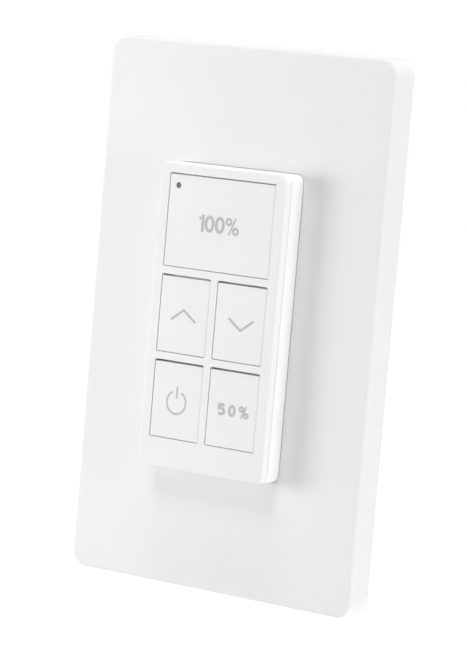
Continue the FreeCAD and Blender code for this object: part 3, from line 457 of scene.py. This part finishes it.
def add_key(name):
    """A key in its solid's shape, with its ribs trimmed and shade painted on its sides."""
    solid = frame["nodes"][name + "_key"].data
    places = [vertex.co.copy() for vertex in solid.vertices]
    trim_ribs(places)
    faces = [tuple(face.vertices) for face in solid.polygons]
    # Painted shade on the key's sides and flange, deeper on some keys than others
    finish = moulded(name + "_key_look", painted_shade=(*KEY_GAP_PAINTED_SHADE, GAP_PAINTED_SHADE_LEVELS[name]), **MOULDED["key_plastic"])
    mesh = closed_mesh(name + "_key_moulding", places, faces, finish)
    mesh.shade_smooth()
    mesh.set_sharp_from_angle(angle=SHARP_ANGLE)
    piece = add_piece(name + "_key_moulding", mesh, "key_" + name)
    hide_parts(name + "_key")


def arc(centre, radii, start, end):
    """Points along an arc, as (across, up) pairs."""
    across, up = centre
    wide, tall = radii
    count = max(2, round(abs(end - start) / ARC_STEP))
    angles = [start + (end - start) * step / count for step in range(count + 1)]
    return [(across + wide * math.cos(angle), up + tall * math.sin(angle)) for angle in angles]


def loop(centre, radii):
    """The points of a closed round line."""
    return arc(centre, radii, 0, 2 * math.pi)[:-1]


def ribbon(points, width, closed):
    """The two edges of a line of some width, with mitred corners."""
    left, right = [], []
    last = len(points) - 1
    for number, point in enumerate(points):
        here = Vector(point)
        ways = []
        if number or closed:
            ways.append((here - Vector(points[number - 1])).normalized())
        if number < last or closed:
            ways.append((Vector(points[(number + 1) % len(points)]) - here).normalized())
        way = sum(ways, Vector((0, 0))).normalized()
        side = Vector((-way.y, way.x))
        reach = width / 2 / max(abs(way.dot(ways[0])), MITRE_LIMIT)
        left.append(here + side * reach)
        right.append(here - side * reach)
    return left, right


def printed(name, lines, body, face, material):
    """A thin raised print on a face parallel to the wall; each of its lines is (points, width, closed)."""
    vertices, faces = [], []
    back = face.y + PRINT_SINK * MM
    for number, (points, width, closed) in enumerate(lines):
        front = face.y - (PRINT_RAISE + number % 2 * PRINT_STEP) * MM
        first = len(vertices)
        for left, right in zip(*ribbon(points, width, closed)):
            for edge, depth in ((left, front), (right, front), (right, back), (left, back)):
                vertices.append((face.x + edge.x * MM, depth, face.z + edge.y * MM))
        starts = range(first, len(vertices), SECTION_CORNERS)
        sections = [range(start, start + SECTION_CORNERS) for start in starts]
        following = sections[1:] + sections[:1] if closed else sections[1:]
        for here, there in zip(sections, following):
            for corner in range(SECTION_CORNERS):
                after = (corner + 1) % SECTION_CORNERS
                faces.append((here[corner], there[corner], there[after], here[after]))
        if not closed:
            faces.append(tuple(sections[0]))
            faces.append(tuple(reversed(sections[-1])))
    add_piece(name, closed_mesh(name, vertices, faces, material), body)


def digit_one(left, height, stroke):
    """A 1 with its flag. Like each sign, returns its lines and the place where it ends."""
    stem = left + height * ONE_STEM
    flag = [(left, height * ONE_FLAG[0]), (stem, height * ONE_FLAG[1])]
    upright = [(stem, 0), (stem, height)]
    return [(flag, stroke * FINE_STROKE, False), (upright, stroke, False)], stem + stroke / 2


def digit_zero(left, height, stroke):
    """A 0."""
    half = height * ZERO_HALF_WIDTH
    centre = (left + half + stroke / 2, height / 2)
    return [(loop(centre, (half, (height - stroke) / 2)), stroke, True)], centre[0] + half + stroke / 2


def digit_five(left, height, stroke):
    """A 5: its bar and stem, and its bowl."""
    half = stroke / 2
    stem = left + half
    top = height - half
    across, up = (height * share for share in FIVE_BOWL_RADII)
    centre = (stem + height * FIVE_BOWL_MIDDLE, up + half)
    bar = [(stem + height * FIVE_BAR_LENGTH, top), (stem, top), (stem, height * FIVE_STEM_FOOT)]
    bowl = arc(centre, (across, up), *FIVE_BOWL_ENDS)
    return [(bar, stroke, False), (bowl, stroke, False)], centre[0] + across + half


def percent(left, height, stroke):
    """A percent sign."""
    thin = stroke * PERCENT_STROKE
    ring = height * PERCENT_RING
    inset = height * PERCENT_SLASH_INSET
    first = (left + ring + thin / 2, height - ring - thin / 2)
    second = (first[0] + height * PERCENT_RINGS_APART, ring + thin / 2)
    slash = [(first[0] + inset, 0), (second[0] - inset, height)]
    rings = [(loop(centre, (ring, ring)), thin, True) for centre in (first, second)]
    return rings + [(slash, thin * FINE_STROKE, False)], second[0] + ring + thin / 2


def level_sign(signs, height, stroke, gap):
    """A level such as 100%, of several signs in a row, centred on its key."""
    lines, left = [], 0
    for sign in signs:
        made, end = sign(left, height, stroke)
        lines += made
        left = end + gap
    shift = (left - gap) / 2
    centred = []
    for points, width, closed in lines:
        centred.append(([(across - shift, up - height / 2) for across, up in points], width, closed))
    return centred


def chevron(up):
    """An open arrow head."""
    tip = up * CHEVRON_HEIGHT / 2
    points = [(-CHEVRON_HALF_WIDTH, -tip), (0, tip), (CHEVRON_HALF_WIDTH, -tip)]
    return [(points, CHEVRON_STROKE, False)]


def power_sign():
    """A ring that is open at the top, with a bar through the opening."""
    quarter = math.pi / 2
    radii = (POWER_RADIUS, POWER_RADIUS)
    ring = arc((0, 0), radii, quarter + POWER_GAP, quarter + 2 * math.pi - POWER_GAP)
    bar = [(0, height) for height in POWER_BAR]
    return [(ring, POWER_STROKE, False), (bar, POWER_STROKE, False)]


def key_face(name):
    """The middle of a key's front face."""
    low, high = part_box(name)
    return Vector(((low.x + high.x) / 2, low.y, (low.z + high.z) / 2))


def add_legends():
    """Prints the legend of each key."""
    grey = ink("legend_ink", INK_COLOUR)
    full_signs = [digit_one, digit_zero, digit_zero, percent]
    half_signs = [digit_five, digit_zero, percent]
    full = level_sign(full_signs, LEVEL_HEIGHT, LEVEL_STROKE, LEVEL_SPACING)
    half = level_sign(half_signs, PRESET_HEIGHT, PRESET_STROKE, PRESET_SPACING)
    marks = {"main": full, "raise": chevron(1), "lower": chevron(-1), "power": power_sign(), "preset": half}
    for name, lines in marks.items():
        across, up = LEGEND_PLACES[name]
        place = key_face(name + "_key") + Vector((across, 0, up)) * MM
        printed(name + "_legend", lines, "key_" + name, place, grey)


def seen_directly(tree):
    """1 for camera, glossy and transmission rays, else 0."""
    path = node(tree, "ShaderNodeLightPath")
    first = node(tree, "ShaderNodeMath", operation="MAXIMUM")
    second = node(tree, "ShaderNodeMath", operation="MAXIMUM")
    tree.links.new(path.outputs["Is Camera Ray"], first.inputs[0])
    tree.links.new(path.outputs["Is Glossy Ray"], first.inputs[1])
    tree.links.new(first.outputs[0], second.inputs[0])
    tree.links.new(path.outputs["Is Transmission Ray"], second.inputs[1])
    return second.outputs[0]


def floor_finish():
    """A matt, pale finish, lifted towards white where it is seen, and more so far from the object."""
    material, tree, shader, place = surface("floor_look")
    tone = tint(tree, spread(tree, noise(tree, place, *FLOOR_NOISE), 0, 1), FLOOR_DARKER, FLOOR_PALER)
    tree.links.new(tone, shader.inputs["Base Color"])
    shader.inputs["Roughness"].default_value = FLOOR_ROUGHNESS
    shader.inputs["Specular IOR Level"].default_value = 0
    shader.inputs["Emission Color"].default_value = WHITE
    away = node(tree, "ShaderNodeVectorMath", operation="LENGTH")
    tree.links.new(place, away.inputs[0])
    lift = node(tree, "ShaderNodeMath", operation="MULTIPLY")
    tree.links.new(seen_directly(tree), lift.inputs[0])
    tree.links.new(ranged(tree, away.outputs["Value"], FLOOR_WHITE), lift.inputs[1])
    tree.links.new(lift.outputs[0], shader.inputs["Emission Strength"])
    return material


def add_floor():
    """A wide floor below the object, which keeps its shadow."""
    mesh = bpy.data.meshes.new("floor")
    sides = [(-1, -1), (1, -1), (1, 1), (-1, 1)]
    corners = [(x * FLOOR_REACH, y * FLOOR_REACH, -FLOOR_DEPTH) for x, y in sides]
    mesh.from_pydata(corners, [], [(0, 1, 2, 3)])
    mesh.materials.append(floor_finish())
    floor = bpy.data.objects.new("floor", mesh)
    scene.collection.objects.link(floor)


def set_world():
    """White where it is seen, and a lower level where it lights the object."""
    world = bpy.data.worlds.new("studio")
    scene.world = world
    world.use_nodes = True
    tree = world.node_tree
    tree.nodes.clear()
    background = node(tree, "ShaderNodeBackground", Color=WHITE)
    output = node(tree, "ShaderNodeOutputWorld")
    strength = ranged(tree, seen_directly(tree), (0, 1, AMBIENT, 1))
    tree.links.new(strength, background.inputs["Strength"])
    tree.links.new(background.outputs[0], output.inputs["Surface"])


def add_lamps():
    """Square soft lamps, each turned to the object."""
    for name, place, side, power in LAMPS:
        data = bpy.data.lights.new(name, "AREA")
        data.shape = "SQUARE"
        data.size = side
        data.energy = power
        lamp = bpy.data.objects.new(name, data)
        lamp.location = place
        lamp.rotation_mode = "QUATERNION"
        lamp.rotation_quaternion = (-Vector(place)).to_track_quat("-Z", "Y")
        lamp.visible_camera = False
        lamp.visible_glossy = False
        scene.collection.objects.link(lamp)


def add_camera():
    """The photograph's camera."""
    data = bpy.data.cameras.new("camera")
    data.lens = CAMERA_LENS
    data.sensor_width = CAMERA_SENSOR
    camera = bpy.data.objects.new("camera", data)
    look = CAMERA_LOOK.normalized()
    right = look.cross(CAMERA_UP).normalized()
    up = right.cross(look)
    turn = Matrix((right, up, -look)).transposed().to_4x4()
    camera.matrix_world = Matrix.Translation(CAMERA_PLACE) @ turn
    scene.collection.objects.link(camera)
    scene.camera = camera


scene.view_settings.view_transform = "Standard"
dress_nodes()
for key_name in LEGEND_PLACES:
    add_key(key_name)
add_legends()
add_floor()
set_world()
add_lamps()
add_camera()
